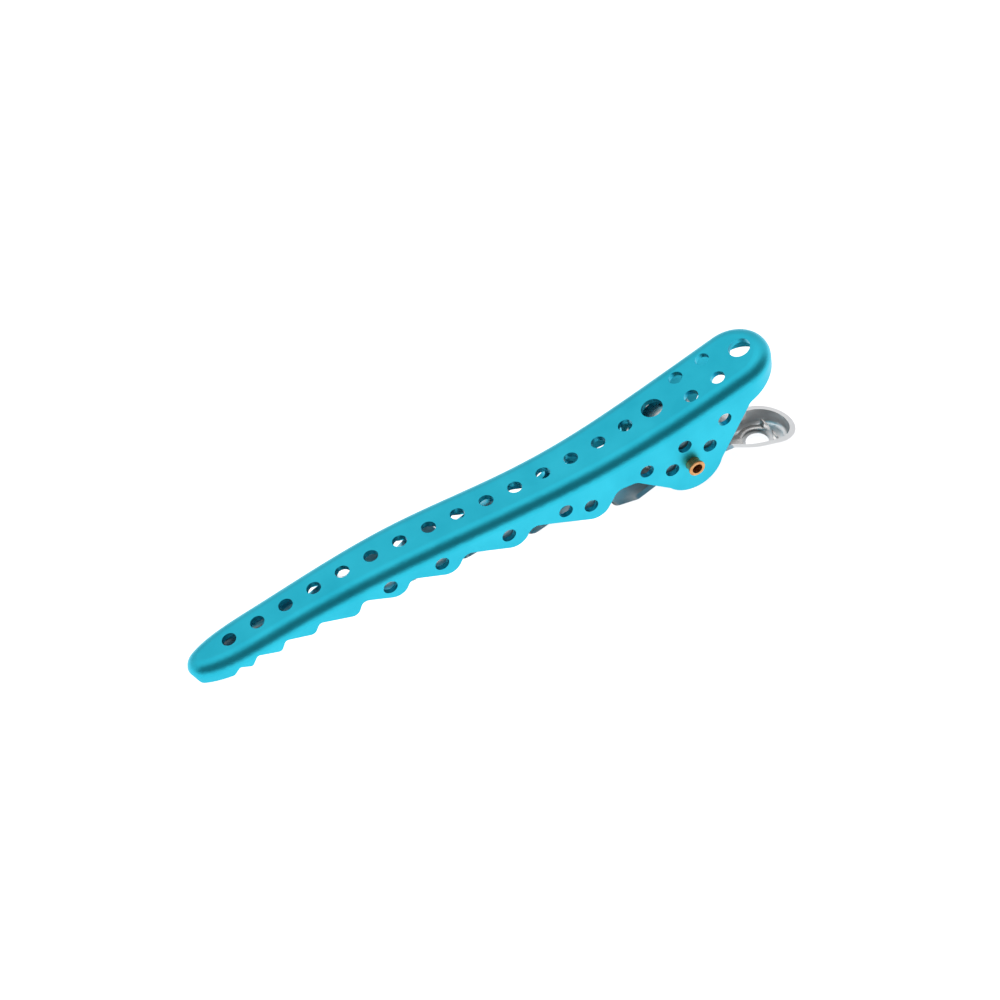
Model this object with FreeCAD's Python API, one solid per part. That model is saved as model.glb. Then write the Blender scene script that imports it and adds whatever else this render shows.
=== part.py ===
import FreeCAD, Part
import math
import os

# Sectioning clip: two perforated sheet jaws that turn on one hollow rivet,
# held shut by a bent leaf spring between their handles.
# It is drawn in mm with X from the tip to the handles, Y across, Z up, and zero at
# the first hole of the back row, on the upper jaw's outer face. Then it is turned
# and moved to stand on a bench with the pivot axis as its origin.

Vec = FreeCAD.Vector

# Sheet and fits
sheet = 1.0                    # thickness of both jaws
bend_radius = 2.3              # outer radius of the upper jaw's long bends
lower_bend_radius = 2.0        # outer radius of the lower jaw's long bends
nest_gap = 0.2                 # between an upper wall and the lower wall inside it
hinge_gap = 0.04               # radial clearance of the rivet in its holes
spring_gap = 0.15              # leaf spring to the sheet it bears on

# Overall outline of the upper jaw
nose_x = -4.9                  # centre of the rounded nose, seen from above
nose_radius = 3.1
rear_x = 96.4                  # centre of the rounded handle end, seen from above
rear_radius = 6.57
tip_half_width = 4.6           # half width a little behind the nose
waist_half_width = 5.48        # half width along the straight middle
waist_start = 33.0
waist_end = 53.0
tip_width_x = 7.0

# Height of the upper jaw's back along its length, and the handle's rise after that
back_points = [(-10.0, -1.45), (0.0, 0.0), (16.0, 2.56), (32.1, 4.05),
               (50.0, 4.05), (66.0, 4.86), (80.5, 7.44)]
handle_rise = 0.2583

# Pivot
pivot_x = 83.75
pivot_z = -2.43
rivet_radius = 1.3             # barrel
rivet_wall = 0.35
rivet_lip = 0.2                # rolled edge of the open end, past the barrel
rivet_lip_depth = 0.35
rivet_stand = 1.6              # how far the open end stands out of the wall
rivet_head_lip = 0.7           # the head, past the barrel
rivet_head_depth = 0.5
rivet_rim_round = 0.15
rivet_float = 0.1              # under the head

# Upper jaw, lower edge: corners (x, z, rounding) from nose to handle end
upper_edge = [(-14.0, -2.9, 0.0), (-7.7, -2.9, 0.4), (-6.9, -4.2, 0.8),
              (-1.6, -4.0, 0.7), (-0.4, -2.65, 0.5), (1.7, -3.5, 0.5),
              (2.9, -1.65, 0.6), (7.0, -3.1, 0.7), (8.1, -1.1, 0.7),
              (13.1, -2.6, 1.0), (14.3, -0.6, 0.8), (20.9, -2.65, 1.3),
              (22.3, 0.15, 1.1), (29.3, -2.85, 2.4), (31.0, 0.35, 1.3),
              (38.8, -3.05, 2.5), (41.1, 0.45, 1.7), (51.3, -4.15, 2.8),
              (53.5, -0.5, 1.8), (66.2, -5.95, 3.0), (69.6, -1.1, 2.0),
              (73.2, -1.2, 1.8)]
lobe_radius = 5.8              # round ear about the pivot
lobe_front_slope = -36.9       # of the edge that runs down into the ear, degrees
lobe_rear_slope = 56.1         # of the edge that leaves it
lobe_rear_inset = 0.2          # the ear stands this far past its rear edge
handle_edge_corner = (95.7, 5.4, 1.5)
handle_edge_slope = 25.5

# Lower jaw
lower_nose_x = -3.2
lower_nose_radius = 2.4
lower_overhang = 4.7           # the lower handle ends this far past the upper one
belly_points = [(-10.0, -3.62), (0.0, -3.5), (18.0, -3.22), (38.0, -3.05),
                (54.0, -5.2), (72.9, -8.95)]
floor_start = (91.5, -11.98)   # from here back the handle's floor is flat
nose_drop = 1.2                # from the upper nose's inner face to the lower nose's edge
lower_edge = [(-14.0, -nose_drop - sheet, 0.0), (3.0, -nose_drop - sheet, 0.5),
              (6.8, -1.6, 0.6), (8.0, -2.3, 0.6), (12.8, -1.1, 0.9), (14.3, -2.2, 0.8),
              (20.8, -0.3, 1.2), (22.4, -2.15, 1.0), (28.4, 1.5, 2.0),
              (31.2, -2.1, 1.2), (38.2, 1.5, 2.2), (41.2, -2.4, 1.5),
              (51.0, 0.2, 2.5), (53.7, -4.1, 1.6), (66.2, -0.3, 2.6),
              (69.3, -6.0, 1.6), (73.6, -6.6, 0.8), (79.5, -4.4, 0.0)]
ear_radius = 5.1
ear_rear_corner = (92.4, -4.6, 0.5)
rim_bend = (96.6, -7.0, 15.0)
rim_slope = -16.8              # of the lower handle's rim after that bend, degrees

# Holes
hole_pitch = 5.4               # along the back
hole_radius = 1.27
big_hole_radius = 1.93
back_hole_count = 15
hanging_hole_inset = 5.29      # along the back from the upper handle's end
spring_view_hole_arc = 15.0 * hole_pitch
pair_hole_arcs = [16.19 * hole_pitch, 17.2 * hole_pitch]
pair_hole_offset = 2.69
side_holes = [(27.3, 0.54), (36.8, 0.54), (49.25, -0.2), (59.9, -0.65),
              (64.5, -1.97), (75.3, 0.32), (79.9, -1.95), (82.7, 2.16),
              (87.3, -0.19), (90.6, 4.2)]
thumb_hole_inset = 7.1         # from the lower handle's end
thumb_hole_radius = 2.06

# Leaf spring
strip = 0.5
strip_half_width = 2.6
bight_radius = 5.0
bight_x = 81.2
upper_leg_slope = 20.0
upper_leg_end_x = 86.2
leg_knee_radius = 6.0
leg_knee_setback = 2.0         # of the lower leg's knee behind the start of the flat floor
eye_radius = 3.6
eye_gap = 0.7                  # the eye's hole is this much larger than the thumb hole
lip_height = 1.15              # turned-up end, above the strip
lip_bend_radius = 0.35

far = 40.0                     # past everything, for cutting tools
past = 0.6                     # outlines run this far past the handle ends

lower_rear_x = rear_x + lower_overhang
lower_rear_radius = rear_radius - sheet - nest_gap
lower_end_x = lower_rear_x + lower_rear_radius
thumb_hole_x = lower_end_x - thumb_hole_inset
upper_plan = (nose_x, nose_radius, tip_half_width, waist_half_width, rear_x, rear_radius)
lower_plan = (lower_nose_x, lower_nose_radius, tip_half_width - sheet - nest_gap,
              waist_half_width - sheet - nest_gap, lower_rear_x, lower_rear_radius)


def spline(points, start=None, end=None):
    curve = Part.BSplineCurve()
    if start:
        curve.interpolate(Points=points, InitialTangent=start, FinalTangent=end)
    else:
        curve.interpolate(Points=points)
    return curve


def profile(points, start=None, end=None):
    # curve of a back or belly in the XZ plane
    return spline([Vec(x, 0, z) for x, z in points], start, end)


def shifted(points, distance, start=None, end=None):
    # the same curve moved by distance along its normal, + is up
    curve = profile(points, start, end)
    moved = []
    for x, z in points:
        here = curve.parameter(Vec(x, 0, z))
        along = curve.tangent(here)[0]
        moved.append((x - along.z * distance, z + along.x * distance))
    return profile(moved, start, end)


def whole_back():
    # the back's points, carried on to the end of the upper handle
    x, z = back_points[-1]
    end_x = rear_x + rear_radius + past
    return back_points + [(end_x, z + (end_x - x) * handle_rise)]


def back_edges(depth):
    # the upper jaw's back, moved in by depth
    return [shifted(whole_back(), -depth).toShape()]


def floor_height(x):
    # underside of the lower handle, flat and level once the clip stands
    return floor_start[1] - (x - floor_start[0]) * math.tan(bench_angle)


def belly_edges(depth):
    # the lower jaw's belly, moved in by depth: a curve, then the flat floor
    along = Vec(math.cos(bench_angle), 0, -math.sin(bench_angle))
    curve = shifted(belly_points + [floor_start], depth, Vec(1, 0, 0.01), along)
    start = curve.value(curve.LastParameter)
    end = start + along * (lower_end_x + past + far - floor_start[0])
    return [curve.toShape(), Part.LineSegment(start, end).toShape()]


def rounded(corners):
    # edges through the corners, each corner rounded by its own radius
    edges = []
    last = Vec(corners[0][0], 0, corners[0][1])
    for before, corner, after in zip(corners, corners[1:], corners[2:]):
        point = Vec(corner[0], 0, corner[1])
        back = (Vec(before[0], 0, before[1]) - point).normalize()
        ahead = (Vec(after[0], 0, after[1]) - point).normalize()
        half = 0.5 * back.getAngle(ahead)
        if corner[2] > 0:
            reach = corner[2] / math.tan(half)
            start = point + back * reach
            end = point + ahead * reach
            middle = (back + ahead).normalize()
            crown = point + middle * (corner[2] / math.sin(half) - corner[2])
            edges.append(Part.LineSegment(last, start).toShape())
            edges.append(Part.Arc(start, crown, end).toShape())
            last = end
        else:
            edges.append(Part.LineSegment(last, point).toShape())
            last = point
    stop = Vec(corners[-1][0], 0, corners[-1][1])
    edges.append(Part.LineSegment(last, stop).toShape())
    return edges


def side_block(edges, closing_z):
    # block across the whole width, between a profile and a level line
    start = edges[0].Vertexes[0].Point
    end = edges[-1].Vertexes[-1].Point
    corners = [end, Vec(end.x, 0, closing_z), Vec(start.x, 0, closing_z), start]
    closing = [Part.LineSegment(a, b).toShape() for a, b in zip(corners, corners[1:])]
    block = Part.Face(Part.Wire(edges + closing)).extrude(Vec(0, 2 * far, 0))
    block.translate(Vec(0, -far, 0))
    return block


def disc(x, z, radius):
    return Part.makeCylinder(radius, 2 * far, Vec(x, -far, z), Vec(0, 1, 0))


def outline_block(nose, nose_r, tip_half, waist_half, rear, rear_r, inset):
    # the jaw's plan outline, inset all round, as a tall block
    turn = math.radians(62)
    r = nose_r - inset
    join = Vec(nose - r * math.cos(turn), r * math.sin(turn), 0)
    leaving = Vec(math.sin(turn), math.cos(turn), 0)
    stations = [join, Vec(tip_width_x, tip_half - inset, 0),
                Vec(waist_start, waist_half - inset, 0), Vec(waist_end, waist_half - inset, 0),
                Vec(rear, rear_r - inset, 0)]
    side = spline(stations, leaving, Vec(1, 0, 0)).toShape()
    other = side.mirror(Vec(0, 0, 0), Vec(0, 1, 0))
    front = Part.Arc(join, Vec(nose - r, 0, 0), Vec(join.x, -join.y, 0)).toShape()
    top = Vec(rear, rear_r - inset, 0)
    back = Part.Arc(top, Vec(rear + rear_r - inset, 0, 0), Vec(top.x, -top.y, 0)).toShape()
    wire = Part.Wire(Part.__sortEdges__([side, back, other, front]))
    block = Part.Face(wire).extrude(Vec(0, 0, 2 * far))
    block.translate(Vec(0, 0, -far))
    return block


def bent_block(outline, edges, closing_z, radius):
    # outline block ended by a curved sheet face, with the bend rounded
    body = outline.common(side_block(edges, closing_z))
    broad = [f for f in body.Faces
             if abs(f.normalAt(0.5, 0.5).z) > 0.3 and abs(f.CenterOfMass.z) < far - 1]
    rims = []
    for one in broad:
        shared = [e for other in broad if not other.isSame(one) for e in other.Edges]
        rims += [e for e in one.Edges if not any(e.isSame(s) for s in shared)]
    return body.makeFillet(radius, rims)


def channel(plan, edges_at, closing_z, radius):
    # sheet channel: outer block less the same block one thickness in
    outer = bent_block(outline_block(*plan, 0.0), edges_at(0.0), closing_z, radius)
    inner = bent_block(outline_block(*plan, sheet), edges_at(sheet), closing_z, radius - sheet)
    return outer.cut(inner)


def lobe_corners():
    # where the ear's two edges would meet, and where the rear one ends
    front = math.radians(lobe_front_slope)
    rear = math.radians(lobe_rear_slope)
    f_dir = Vec(math.cos(front), 0, math.sin(front))
    r_dir = Vec(math.cos(rear), 0, math.sin(rear))
    pivot = Vec(pivot_x, 0, pivot_z)
    f_point = pivot + Vec(f_dir.z, 0, -f_dir.x) * lobe_radius
    r_point = pivot + Vec(r_dir.z, 0, -r_dir.x) * (lobe_radius - lobe_rear_inset)
    gap = r_point - f_point
    along = (gap.x * r_dir.z - gap.z * r_dir.x) / (f_dir.x * r_dir.z - f_dir.z * r_dir.x)
    meet = f_point + f_dir * along
    return (meet.x, meet.z, lobe_radius - lobe_rear_inset)


def back_holes(body, back):
    # round holes square to the back, placed by length along it
    first = back.parameter(Vec(0, 0, 0))
    end = back.length(first, back.LastParameter) - past
    lengths = [(i * hole_pitch, 0.0, hole_radius) for i in range(back_hole_count)]
    lengths.append((spring_view_hole_arc, 0.0, big_hole_radius))
    lengths.append((end - hanging_hole_inset, 0.0, big_hole_radius))
    for arc in pair_hole_arcs:
        lengths.append((arc, pair_hole_offset, hole_radius))
        lengths.append((arc, -pair_hole_offset, hole_radius))
    tools = []
    for arc, y, radius in lengths:
        here = back.parameterAtDistance(arc, first) if arc else first
        spot = back.value(here)
        along = back.tangent(here)[0]
        normal = Vec(-along.z, 0, along.x)
        base = Vec(spot.x, y, spot.z) - normal * (2 * sheet)
        tools.append(Part.makeCylinder(radius, 4 * sheet, base, normal))
    return body.cut(tools)


def upper_jaw():
    body = channel(upper_plan, back_edges, -far, bend_radius)
    corner = handle_edge_corner
    run = rear_x + rear_radius + far - corner[0]
    end = (corner[0] + run, corner[1] + run * math.tan(math.radians(handle_edge_slope)), 0.0)
    edge = rounded(upper_edge + [lobe_corners(), corner, end])
    keep = side_block(edge, far).fuse(disc(pivot_x, pivot_z, lobe_radius))
    body = body.common(keep)
    body = back_holes(body, profile(whole_back()))
    body = body.cut([disc(x, z, hole_radius) for x, z in side_holes])
    return body.cut(disc(pivot_x, pivot_z, rivet_radius + hinge_gap))


def lower_jaw():
    body = channel(lower_plan, belly_edges, far, lower_bend_radius)
    run = lower_end_x + past + far - rim_bend[0]
    rim_end = (rim_bend[0] + run, rim_bend[1] + run * math.tan(math.radians(rim_slope)), 0.0)
    edge = rounded(lower_edge + [ear_rear_corner, rim_bend, rim_end])
    keep = side_block(edge, -far).fuse(disc(pivot_x, pivot_z, ear_radius))
    body = body.common(keep)
    base = Vec(thumb_hole_x, 0, floor_height(thumb_hole_x)) - floor_normal() * sheet
    body = body.cut(Part.makeCylinder(thumb_hole_radius, 3 * sheet, base, floor_normal()))
    return body.cut(disc(pivot_x, pivot_z, rivet_radius + hinge_gap))


def pivot_rivet():
    # revolved about the pivot axis; the open end stands out on the -Y side
    wall_y = half_width_at_pivot()
    near = -wall_y - rivet_stand
    head = wall_y + rivet_float
    end = head + rivet_head_depth
    r = rivet_radius
    bore = r - rivet_wall
    lip = r + rivet_lip
    wide = r + rivet_head_lip
    points = [(bore, near), (lip, near), (lip, near + rivet_lip_depth),
              (r, near + 2 * rivet_lip_depth), (r, head), (wide, head), (wide, end),
              (bore, end), (bore, near)]
    wire = Part.makePolygon([Vec(pivot_x + radius, y, pivot_z) for radius, y in points])
    body = Part.Face(wire).revolve(Vec(pivot_x, 0, pivot_z), Vec(0, 1, 0), 360)
    rims = [e for e in body.Edges if e.Length > math.pi * (r + lip)]
    return body.makeFillet(rivet_rim_round, rims)


def half_width_at_pivot():
    block = outline_block(*upper_plan, 0.0)
    line = Part.makeLine(Vec(pivot_x, -far, 0), Vec(pivot_x, far, 0))
    return block.common(line).BoundBox.YMax


def upper_leg_end():
    # the spring's upper leg ends just under the upper handle
    back = shifted(whole_back(), -sheet - spring_gap - strip / 2)
    upright = Part.LineSegment(Vec(upper_leg_end_x, 0, -far), Vec(upper_leg_end_x, 0, far))
    point = back.intersect(upright)[0]
    return Vec(point.X, 0, point.Z)


def strip_path():
    # centre line of the leaf spring as straight runs and arcs, from the upper end
    up = math.radians(upper_leg_slope)
    end = upper_leg_end()
    leg_z = end.z - (end.x - bight_x) * math.tan(up)
    bight = Vec(bight_x, 0, leg_z - bight_radius / math.cos(up))
    along = Vec(math.cos(bench_angle), 0, -math.sin(bench_angle))
    lift = floor_normal() * (sheet + spring_gap + strip / 2)
    knee = Vec(floor_start[0], 0, floor_start[1]) + lift + along * leg_knee_setback
    reach = knee - bight
    down = math.atan2(reach.z, reach.x) + math.asin(bight_radius / reach.Length)
    top = bight + Vec(-math.sin(up), 0, math.cos(up)) * bight_radius
    bottom = bight + Vec(math.sin(down), 0, -math.cos(down)) * bight_radius
    apex = bight - Vec(bight_radius, 0, 0)
    near = Vec(thumb_hole_x, 0, floor_height(thumb_hole_x)) + lift
    last = near + along * math.sqrt(eye_radius ** 2 - strip_half_width ** 2)
    up_end = last + floor_normal() * (strip / 2 + lip_height)
    corners = [(bottom.x, bottom.z, 0), (knee.x, knee.z, leg_knee_radius),
               (last.x, last.z, lip_bend_radius + strip / 2), (up_end.x, up_end.z, 0)]
    edges = [Part.LineSegment(end, top).toShape(), Part.Arc(top, apex, bottom).toShape()]
    return edges + rounded(corners)


def leaf_spring():
    # strip drawn edge-on, then cut to its plan: a long run that ends in a holed eye
    outline = Part.Wire(strip_path()).makeOffset2D(strip / 2, 0, False, False)
    ribbon = Part.Face(outline)
    body = ribbon.extrude(Vec(0, 2 * eye_radius, 0))
    body.translate(Vec(0, -eye_radius, 0))
    long_run = Part.makeBox(4 * far, 2 * strip_half_width, 2 * far,
                            Vec(0, -strip_half_width, -far))
    base = Vec(thumb_hole_x, 0, floor_height(thumb_hole_x)) - floor_normal() * far
    eye = Part.makeCylinder(eye_radius, 2 * far, base, floor_normal())
    hole = Part.makeCylinder(thumb_hole_radius + eye_gap, 2 * far, base, floor_normal())
    return body.common(long_run.fuse(eye)).cut(hole)


def floor_normal():
    return Vec(math.sin(bench_angle), 0, math.cos(bench_angle))


def turned(shape, angle):
    # about the pivot axis, handles up
    copy = shape.copy()
    copy.rotate(Vec(pivot_x, 0, pivot_z), Vec(0, 1, 0), -math.degrees(angle))
    return copy


def angle_on_bench(upper):
    # the turn that levels the handle's floor with the nose's lowest edge
    angle = 0.0
    corner = Part.Vertex(Vec(floor_start[0], 0, floor_start[1]))
    for _ in range(4):
        nose = turned(upper, angle).optimalBoundingBox(False).ZMin
        floor = turned(corner, angle).Z
        angle += math.atan((nose - floor) / (floor_start[0] - nose_x))
    return angle


upper = upper_jaw()
bench_angle = angle_on_bench(upper)
parts = {
    "upper_jaw": upper,
    "lower_jaw": lower_jaw(),
    "pivot_rivet": pivot_rivet(),
    "leaf_spring": leaf_spring(),
}
os.makedirs("parts", exist_ok=True)
for name, shape in parts.items():
    shape = turned(shape, bench_angle)
    shape.translate(Vec(-pivot_x, 0, -pivot_z))
    print(name, shape.isValid(), round(shape.Volume, 2), "mm3")
    shape.exportStep("parts/" + name + ".step")
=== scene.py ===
import bpy
import math
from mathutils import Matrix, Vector


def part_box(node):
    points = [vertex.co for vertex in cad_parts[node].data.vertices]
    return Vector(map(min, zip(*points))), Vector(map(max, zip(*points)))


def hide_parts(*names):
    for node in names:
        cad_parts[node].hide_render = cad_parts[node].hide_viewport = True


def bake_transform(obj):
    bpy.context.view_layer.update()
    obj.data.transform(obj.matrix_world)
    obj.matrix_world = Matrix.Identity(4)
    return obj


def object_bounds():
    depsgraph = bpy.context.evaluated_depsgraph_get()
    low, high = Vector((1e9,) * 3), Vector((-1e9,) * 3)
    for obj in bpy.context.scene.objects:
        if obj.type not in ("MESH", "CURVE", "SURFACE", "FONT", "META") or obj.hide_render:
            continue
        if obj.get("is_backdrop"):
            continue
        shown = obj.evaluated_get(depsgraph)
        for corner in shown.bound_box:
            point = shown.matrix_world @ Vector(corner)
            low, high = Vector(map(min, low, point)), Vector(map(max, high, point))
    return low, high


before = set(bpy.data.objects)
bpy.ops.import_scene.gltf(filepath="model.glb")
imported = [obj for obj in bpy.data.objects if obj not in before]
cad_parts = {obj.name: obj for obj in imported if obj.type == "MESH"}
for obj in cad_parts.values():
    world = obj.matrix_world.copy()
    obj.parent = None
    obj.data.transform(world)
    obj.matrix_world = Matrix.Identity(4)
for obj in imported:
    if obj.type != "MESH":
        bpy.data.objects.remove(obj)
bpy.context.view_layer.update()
print("frame loaded:", sorted(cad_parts))


# small helpers

def deselectAll():
    if bpy.context.object and bpy.context.object.mode != "OBJECT":
        bpy.ops.object.mode_set(mode="OBJECT")
    bpy.ops.object.select_all(action="DESELECT")


def makeActive(piece):
    deselectAll()
    piece.select_set(True)
    bpy.context.view_layer.objects.active = piece


def startMaterial(name):
    material = bpy.data.materials.new(name)
    material.use_nodes = True
    shader = material.node_tree.nodes["Principled BSDF"]
    return material, shader


def addNode(material, kind, values=None):
    node = material.node_tree.nodes.new(kind)
    for socket, value in (values or {}).items():
        node.inputs[socket].default_value = value
    return node


def link(material, fromSocket, toSocket):
    material.node_tree.links.new(fromSocket, toSocket)


def noiseAt(material, stretch, scale, detail):
    # noise on object coordinates in metres, stretched along each axis
    place = addNode(material, "ShaderNodeTexCoord")
    mapping = addNode(material, "ShaderNodeMapping", {"Scale": stretch})
    noise = addNode(material, "ShaderNodeTexNoise", {"Scale": scale, "Detail": detail})
    link(material, place.outputs["Object"], mapping.inputs["Vector"])
    link(material, mapping.outputs["Vector"], noise.inputs["Vector"])
    return noise.outputs["Fac"]


def rampBetween(material, factor, low, high, lowAt, highAt):
    ramp = addNode(material, "ShaderNodeValToRGB")
    first, last = ramp.color_ramp.elements
    first.position, last.position = lowAt, highAt
    first.color, last.color = (*low, 1), (*high, 1)
    link(material, factor, ramp.inputs["Fac"])
    return ramp.outputs["Color"]


def makeMetal(name, look):
    # a broad cloud sets the colour, a fine pattern the roughness and the bump
    material, shader = startMaterial(name)
    cloud = noiseAt(material, (1, 1, 1), look["cloudScale"], look["cloudDetail"])
    fine = noiseAt(material, look["fineStretch"], look["fineScale"], look["fineDetail"])
    tone = rampBetween(material, cloud, look["dark"], look["bright"],
                       look["darkAt"], look["brightAt"])
    rough = addNode(material, "ShaderNodeMapRange",
                    {"To Min": look["roughLow"], "To Max": look["roughHigh"]})
    bump = addNode(material, "ShaderNodeBump",
                   {"Strength": look["bumpStrength"], "Distance": look["bumpDepth"]})
    link(material, fine, rough.inputs["Value"])
    link(material, fine, bump.inputs["Height"])
    link(material, tone, shader.inputs["Base Color"])
    link(material, rough.outputs["Result"], shader.inputs["Roughness"])
    link(material, bump.outputs["Normal"], shader.inputs["Normal"])
    shader.inputs["Metallic"].default_value = look["metal"]
    if "coat" in look:
        shader.inputs["Coat Weight"].default_value = look["coat"]
        shader.inputs["Coat Roughness"].default_value = look["coatRough"]
    return material


def giveMaterial(piece, material):
    piece.data.materials.clear()
    piece.data.materials.append(material)


# the anodised jaw: satin cyan, with the fine grain of etched sheet

anodised = {
    "dark": (0.018, 0.480, 0.645),
    "bright": (0.030, 0.565, 0.740),
    "darkAt": 0.3,
    "brightAt": 0.7,
    "cloudScale": 120.0,
    "cloudDetail": 4.0,
    "fineStretch": (1, 1, 1),
    "fineScale": 5200.0,               # grains per metre
    "fineDetail": 2.0,
    "roughLow": 0.36,
    "roughHigh": 0.46,
    "bumpStrength": 0.35,
    "bumpDepth": 0.00001,
    "metal": 1.0,
    "coat": 0.10,
    "coatRough": 0.3,
}

giveMaterial(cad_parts["upper_jaw"], makeMetal("anodisedSheet", anodised))
print("anodised jaw coloured")


# the bare jaw: bright sheet with faint rolling lines along it

brightSheet = {
    "dark": (0.84, 0.85, 0.87),
    "bright": (0.95, 0.955, 0.96),
    "darkAt": 0.3,
    "brightAt": 0.7,
    "cloudScale": 160.0,
    "cloudDetail": 4.0,
    "fineStretch": (0.04, 1, 1),
    "fineScale": 2600.0,               # rolling lines per metre across the sheet
    "fineDetail": 3.0,
    "roughLow": 0.26,
    "roughHigh": 0.40,
    "bumpStrength": 0.25,
    "bumpDepth": 0.000008,
    "metal": 0.86,
}

giveMaterial(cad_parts["lower_jaw"], makeMetal("brightSheet", brightSheet))
print("bare jaw coloured")


# the rivet: turned copper alloy, mottled, with fine rings round it

rivet = {
    "dark": (0.48, 0.19, 0.06),
    "bright": (0.76, 0.40, 0.16),
    "darkAt": 0.2,
    "brightAt": 0.6,
    "cloudScale": 900.0,
    "cloudDetail": 4.0,
    "fineStretch": (0.1, 1, 0.1),
    "fineScale": 5200.0,               # rings per metre along the rivet
    "fineDetail": 2.0,
    "roughLow": 0.18,
    "roughHigh": 0.34,
    "bumpStrength": 0.2,
    "bumpDepth": 0.000006,
    "metal": 0.8,
}

giveMaterial(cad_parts["pivot_rivet"], makeMetal("rivetMetal", rivet))
print("rivet coloured")


# the leaf spring: tempered strip brushed along its length, made again from its CAD shape
# and cut across in short lengths

spring = {
    "dark": (0.56, 0.55, 0.54),
    "bright": (0.80, 0.79, 0.78),
    "darkAt": 0.3,
    "brightAt": 0.7,
    "cloudScale": 240.0,
    "cloudDetail": 4.0,
    "fineStretch": (0.03, 1, 0.03),
    "fineScale": 5000.0,               # brush lines per metre across the strip
    "fineDetail": 3.0,
    "roughLow": 0.2,
    "roughHigh": 0.34,
    "bumpStrength": 0.25,
    "bumpDepth": 0.000008,
    "metal": 1.0,
    "mergeWithin": 0.000002,
    "cutStep": 0.0008,                 # between the cuts across the strip
    "uncutRear": 0.006,                # left whole at the handle end
    "uncutFoot": 0.001,                # left whole above its lowest point
    "edgeRound": 0.00006,
    "roundSteps": 2,
    "roundOver": 50,                   # degrees at an edge
    "smoothUnder": 35,
    "bendFrom": -0.0024,               # heights bounding the part of the bow meant to turn with the handle
    "bendTo": 0.0078,
}


def copyNode(nodeName, pieceName):
    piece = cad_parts[nodeName].copy()
    piece.data = piece.data.copy()
    piece.name = pieceName
    bpy.context.scene.collection.objects.link(piece)
    place = piece.matrix_world.copy()
    piece.parent = None
    piece.matrix_world = place
    makeActive(piece)
    bpy.ops.object.transform_apply(location=True, rotation=True, scale=True)
    return piece


def cutAcross(piece, normal, first, last, step):
    makeActive(piece)
    bpy.ops.object.mode_set(mode="EDIT")
    at = first
    while at < last:
        bpy.ops.mesh.select_all(action="SELECT")
        point = [at * part for part in normal]
        bpy.ops.mesh.bisect(plane_co=point, plane_no=normal)
        at += step
    bpy.ops.object.mode_set(mode="OBJECT")


def makeSpring(look):
    low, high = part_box("leaf_spring")
    strip = copyNode("leaf_spring", "springStrip")
    bpy.ops.object.mode_set(mode="EDIT")
    bpy.ops.mesh.select_all(action="SELECT")
    bpy.ops.mesh.remove_doubles(threshold=look["mergeWithin"])
    bpy.ops.object.mode_set(mode="OBJECT")
    step = look["cutStep"]
    cutAcross(strip, (1, 0, 0), low.x + step, high.x - look["uncutRear"], step)
    cutAcross(strip, (0, 0, 1), low.z + look["uncutFoot"], high.z, step)
    rounding = strip.modifiers.new("deburred", "BEVEL")
    rounding.width = look["edgeRound"]
    rounding.segments = look["roundSteps"]
    rounding.limit_method = "ANGLE"
    rounding.angle_limit = math.radians(look["roundOver"])
    bpy.ops.object.modifier_apply(modifier=rounding.name)
    bpy.ops.object.shade_smooth_by_angle(angle=math.radians(look["smoothUnder"]))
    giveMaterial(strip, makeMetal("springStrip", look))
    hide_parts("leaf_spring")
    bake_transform(strip)


makeSpring(spring)
print("spring made")


# the floor

floor = {
    "half": 1.5,
    "tone": (0.30, 0.302, 0.305, 1),
    "rough": 0.6,
    "glow": 1.08,                      # of its own, so that shadows stay faint
    "glowTone": (1, 1, 1, 1),
}


def makeFloor(look):
    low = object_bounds()[0]
    deselectAll()
    bpy.ops.mesh.primitive_plane_add(size=2 * look["half"], location=(0, 0, low[2]))
    plane = bpy.context.object
    plane.name = "floor"
    bpy.ops.object.transform_apply(location=True, rotation=True, scale=True)
    material, shader = startMaterial("paleFloor")
    shader.inputs["Base Color"].default_value = look["tone"]
    shader.inputs["Roughness"].default_value = look["rough"]
    shader.inputs["Emission Color"].default_value = look["glowTone"]
    shader.inputs["Emission Strength"].default_value = look["glow"]
    giveMaterial(plane, material)
    plane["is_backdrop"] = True


makeFloor(floor)
print("floor made")


# studio light: a bright sky overhead and behind, darker towards the viewer

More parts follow.
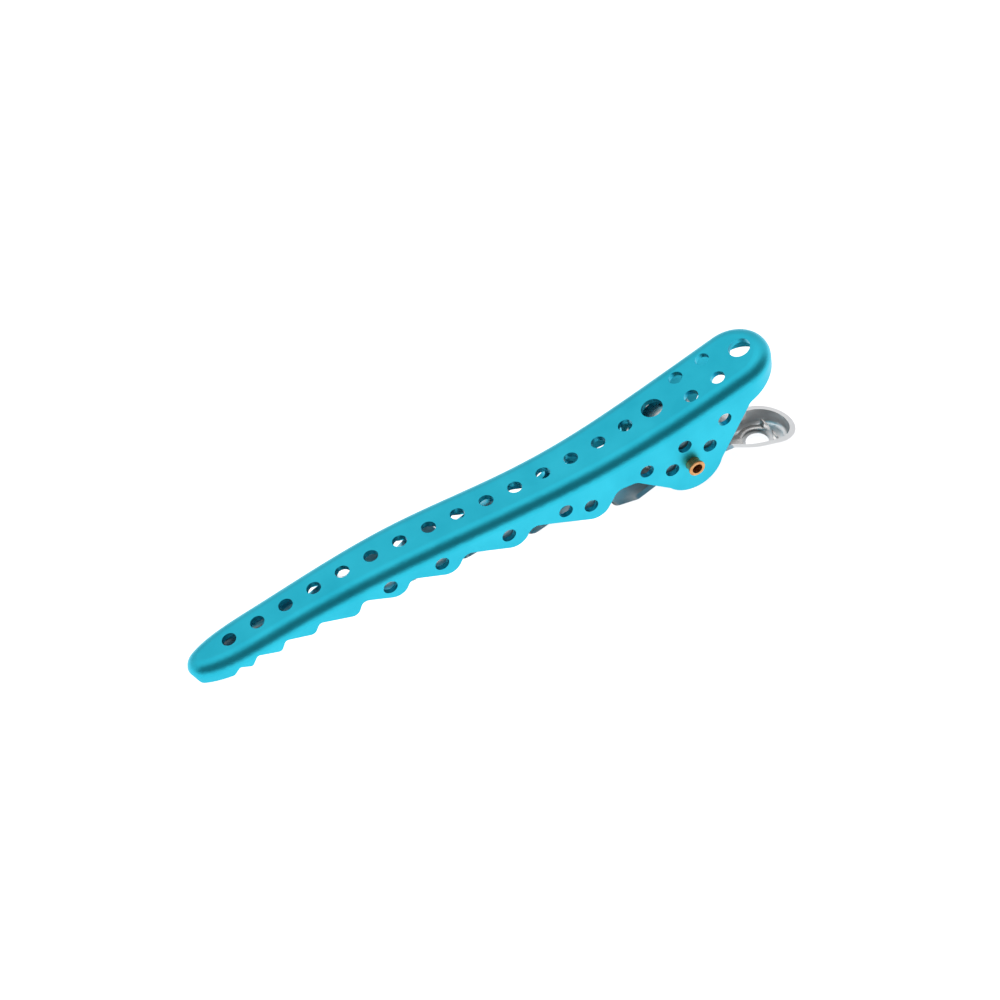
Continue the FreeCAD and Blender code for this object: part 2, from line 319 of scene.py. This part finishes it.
studio = {
    # (place from the front at 0 to the back at 1, brightness)
    "sky": [(0.0, 0.17), (0.32, 0.17), (0.55, 0.96), (0.75, 0.80), (1.0, 0.64)],
    "keySize": 1.2,
    "keyPower": 1.0,
    "keyFrom": (-0.10, 0.12, 0.85),
}


def makeSky(look):
    world = bpy.data.worlds.new("studioSky")
    world.use_nodes = True
    tree = world.node_tree
    place = tree.nodes.new("ShaderNodeTexCoord")
    split = tree.nodes.new("ShaderNodeSeparateXYZ")
    band = tree.nodes.new("ShaderNodeMapRange")
    band.inputs["From Min"].default_value = -1.0
    ramp = tree.nodes.new("ShaderNodeValToRGB")
    tree.links.new(place.outputs["Generated"], split.inputs["Vector"])
    tree.links.new(split.outputs["Y"], band.inputs["Value"])
    tree.links.new(band.outputs["Result"], ramp.inputs["Fac"])
    tree.links.new(ramp.outputs["Color"], tree.nodes["Background"].inputs["Color"])
    stops = ramp.color_ramp.elements
    while len(stops) < len(look["sky"]):
        stops.new(0.5)
    for stop, (position, level) in zip(stops, look["sky"]):
        stop.position = position
        stop.color = (level, level, level, 1)
    bpy.context.scene.world = world


def makeKeyLight(look):
    data = bpy.data.lights.new("softKey", "AREA")
    data.size = look["keySize"]
    data.energy = look["keyPower"]
    lamp = bpy.data.objects.new("softKey", data)
    bpy.context.scene.collection.objects.link(lamp)
    lamp.location = look["keyFrom"]
    lamp.rotation_euler = Vector(look["keyFrom"]).to_track_quat("Z", "Y").to_euler()


makeSky(studio)
makeKeyLight(studio)
bpy.context.scene.view_settings.view_transform = "Standard"
print("light set")


# the camera

view = {
    "from": (-0.159423, -0.302310, 0.318509),
    "turn": (45.889, 4.100, -26.608),  # degrees
    "lens": 97.9,
    "sensor": 36,
    "nearest": 0.01,
}


def makeCamera(look):
    data = bpy.data.cameras.new("camera")
    data.lens = look["lens"]
    data.sensor_width = look["sensor"]
    data.clip_start = look["nearest"]
    camera = bpy.data.objects.new("camera", data)
    camera.location = look["from"]
    camera.rotation_euler = [math.radians(angle) for angle in look["turn"]]
    bpy.context.scene.collection.objects.link(camera)
    bpy.context.scene.camera = camera


makeCamera(view)
print("camera set")
